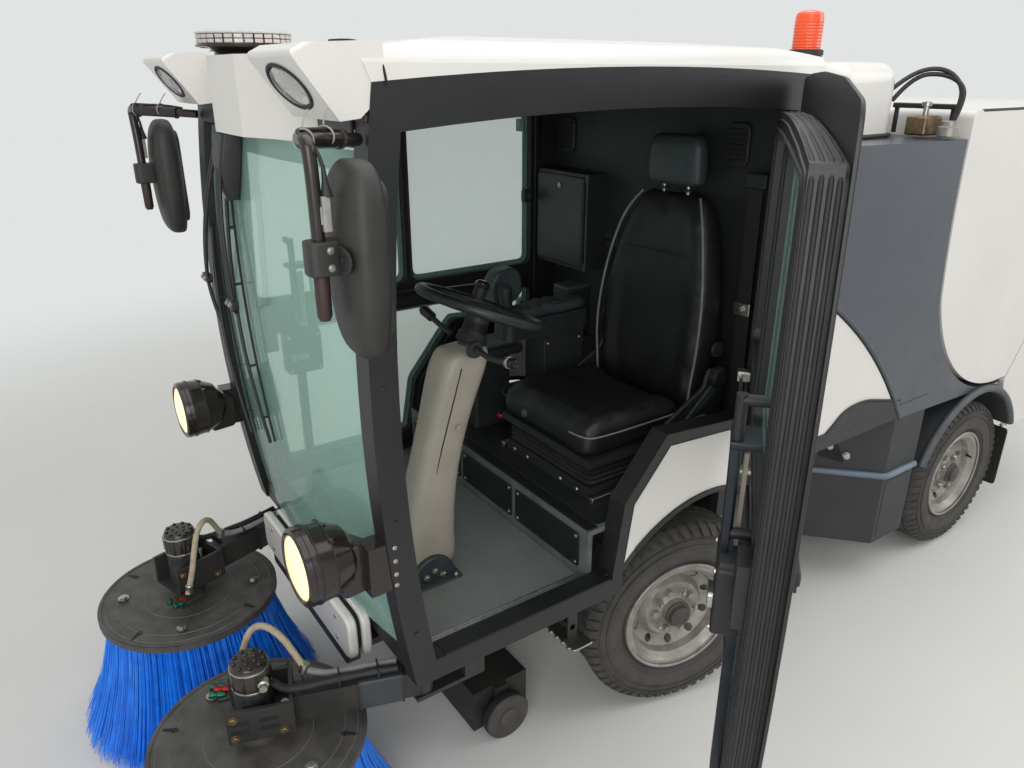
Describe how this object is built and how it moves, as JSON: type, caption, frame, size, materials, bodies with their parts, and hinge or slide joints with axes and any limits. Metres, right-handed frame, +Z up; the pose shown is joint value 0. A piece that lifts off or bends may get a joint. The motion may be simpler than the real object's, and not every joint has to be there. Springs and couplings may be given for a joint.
{
  "type": "compact road sweeper",
  "caption": "Compact road sweeper: glazed cab, front disc brushes on swing arms, suction mouth, tipping litter hopper with rear flap, steered front wheels.",
  "frame": {"origin": "centre of the bounding box in plan, on the ground", "axes": "+X to the machine's left, +Y towards its tail, +Z up"},
  "size_m": [2.0864, 4.1639, 2.054],
  "materials": {
    "white_paint": "smooth gloss white",
    "slate_paint": "satin dark slate",
    "black_steel": "satin black",
    "grey_steel": "worn dark grey",
    "bronze_column": "satin warm grey",
    "charcoal_plastic": "fine grained",
    "dark_trim": "fine grained",
    "frame_paint": "satin black powder coat",
    "lamp_shell": "glossy",
    "amber_lens": "clear gloss",
    "tinted_glass": "light green tint",
    "seat_fabric": "woven",
    "tyre_rubber": "dusty",
    "rim_paint": "silver",
    "blue_bristle": "bristle pack",
    "motor_steel": "machined",
    "floor_steel": "grey"
  },
  "bodies": {
    "chassis": {"arm_cylinder_left": "black_steel", "arm_cylinder_right": "black_steel", "beacon_lens": "amber_lens", "beacon_post": "dark_trim", "cab_floor": "floor_steel", "cab_frame": "frame_paint", "cab_rear_wall": "dark_trim", "cab_roof": "white_paint", "chassis_frame": "black_steel", "driver_console": "dark_trim", "engine_block": "grey_steel", "front_axle": "black_steel", "front_fenders": "white_paint", "front_panel": "white_paint", "headlamps": "lamp_shell", "intake_cover": "white_paint", "mirrors": "lamp_shell", "rear_axle": "black_steel", "rear_fenders": "charcoal_plastic", "rear_housing": "slate_paint", "seat_backrest": "seat_fabric", "seat_base": "dark_trim", "seat_cushion": "seat_fabric", "side_boxes": "charcoal_plastic", "side_covers": "white_paint", "steering_column": "bronze_column", "suction_mouth": "black_steel", "tail_panel": "white_paint", "warning_light": "dark_trim", "windscreen": "tinted_glass"},
    "door_left": {"door_left": "frame_paint", "door_glass_left": "tinted_glass"},
    "door_right": {"door_right": "frame_paint", "door_glass_right": "tinted_glass"},
    "hopper": {"hopper": "white_paint"},
    "hopper_flap": {"hopper_flap": "white_paint"},
    "steering_wheel": {"steering_wheel": "dark_trim"},
    "knuckle_left": {"knuckle_left": "black_steel"},
    "wheel_front_left": {"tyre_front_left": "tyre_rubber", "rim_front_left": "rim_paint"},
    "wheel_rear_left": {"tyre_rear_left": "tyre_rubber", "rim_rear_left": "rim_paint"},
    "brush_arm_left": {"brush_arm_left": "black_steel", "brush_motor_left": "motor_steel"},
    "brush_left": {"brush_disc_left": "grey_steel", "brush_bristles_left": "blue_bristle"},
    "arm_rod_left": {"arm_cylinder_rod_left": "motor_steel"},
    "castor_left": {"castor_wheel_left": "tyre_rubber"},
    "knuckle_right": {"knuckle_right": "black_steel"},
    "wheel_front_right": {"tyre_front_right": "tyre_rubber", "rim_front_right": "rim_paint"},
    "wheel_rear_right": {"tyre_rear_right": "tyre_rubber", "rim_rear_right": "rim_paint"},
    "brush_arm_right": {"brush_arm_right": "black_steel", "brush_motor_right": "motor_steel"},
    "brush_right": {"brush_disc_right": "grey_steel", "brush_bristles_right": "blue_bristle"},
    "arm_rod_right": {"arm_cylinder_rod_right": "motor_steel"},
    "castor_right": {"castor_wheel_right": "tyre_rubber"}
  },
  "joints": [
    {"name": "door_left_hinge", "type": "hinge", "parent": "chassis", "child": "door_left", "pos_m": [0.31582, -0.265, 1.3], "axis": [0, 0, 1], "range_deg": [-39.5, 45.5]},
    {"name": "door_right_hinge", "type": "hinge", "parent": "chassis", "child": "door_right", "pos_m": [-0.86618, -0.265, 1.3], "axis": [0, 0, -1], "range_deg": [0, 85]},
    {"name": "hopper_tip", "type": "hinge", "parent": "chassis", "child": "hopper", "pos_m": [-0.27518, 2.029, 0.85], "axis": [-1, 0, 0], "range_deg": [0, 50]},
    {"name": "flap_hinge", "type": "hinge", "parent": "hopper", "child": "hopper_flap", "pos_m": [-0.27518, 2.033, 1.764], "axis": [1, 0, 0], "range_deg": [0, 80]},
    {"name": "steering_column_joint", "type": "hinge", "parent": "chassis", "child": "steering_wheel", "pos_m": [-0.09518, -0.991, 1.312], "axis": [0, 0.3746, 0.9272], "range_deg": [-133, 469]},
    {"name": "steer_left", "type": "hinge", "parent": "chassis", "child": "knuckle_left", "pos_m": [0.12482, -0.471, 0.318], "axis": [0, 0, 1], "range_deg": [-11, 39]},
    {"name": "spin_front_left", "type": "hinge", "parent": "knuckle_left", "child": "wheel_front_left", "pos_m": [0.20293, -0.49047, 0.318], "axis": [0.9703, -0.2419, 0], "continuous": true},
    {"name": "spin_rear_left", "type": "hinge", "parent": "chassis", "child": "wheel_rear_left", "pos_m": [0.20532, 1.129, 0.318], "axis": [1, 0, 0], "continuous": true},
    {"name": "arm_swing_left", "type": "hinge", "parent": "chassis", "child": "brush_arm_left", "pos_m": [0.19482, -1.371, 0.47], "axis": [0, 0, 1], "range_deg": [0, 45]},
    {"name": "brush_spin_left", "type": "hinge", "parent": "brush_arm_left", "child": "brush_left", "pos_m": [0.06482, -1.756, 0.385], "axis": [0, 0, 1], "continuous": true},
    {"name": "rod_slide_left", "type": "slide", "parent": "chassis", "child": "arm_rod_left", "axis": [-0.0555, -0.9985, 0], "range_m": [0, 0.08]},
    {"name": "castor_spin_left", "type": "hinge", "parent": "chassis", "child": "castor_left", "pos_m": [0.09682, -1.046, 0.075], "axis": [1, 0, 0], "continuous": true},
    {"name": "steer_right", "type": "hinge", "parent": "chassis", "child": "knuckle_right", "pos_m": [-0.67518, -0.471, 0.318], "axis": [0, 0, 1], "range_deg": [-11, 39]},
    {"name": "spin_front_right", "type": "hinge", "parent": "knuckle_right", "child": "wheel_front_right", "pos_m": [-0.75329, -0.45153, 0.318], "axis": [0.9703, -0.2419, 0], "continuous": true},
    {"name": "spin_rear_right", "type": "hinge", "parent": "chassis", "child": "wheel_rear_right", "pos_m": [-0.75568, 1.129, 0.318], "axis": [1, 0, 0], "continuous": true},
    {"name": "arm_swing_right", "type": "hinge", "parent": "chassis", "child": "brush_arm_right", "pos_m": [-0.74518, -1.371, 0.47], "axis": [0, 0, -1], "range_deg": [0, 45]},
    {"name": "brush_spin_right", "type": "hinge", "parent": "brush_arm_right", "child": "brush_right", "pos_m": [-0.61518, -1.756, 0.385], "axis": [0, 0, 1], "continuous": true},
    {"name": "rod_slide_right", "type": "slide", "parent": "chassis", "child": "arm_rod_right", "axis": [0.0555, -0.9985, 0], "range_m": [0, 0.08]},
    {"name": "castor_spin_right", "type": "hinge", "parent": "chassis", "child": "castor_right", "pos_m": [-0.64718, -1.046, 0.075], "axis": [1, 0, 0], "continuous": true}
  ],
  "couplings": [
    {"joint": "steer_right", "follows": "steer_left", "ratio": 1},
    {"joint": "steering_column_joint", "follows": "steer_left", "ratio": 12},
    {"joint": "rod_slide_left", "follows": "arm_swing_left", "m_per_rad": 0.096},
    {"joint": "rod_slide_right", "follows": "arm_swing_right", "m_per_rad": 0.096}
  ]
}
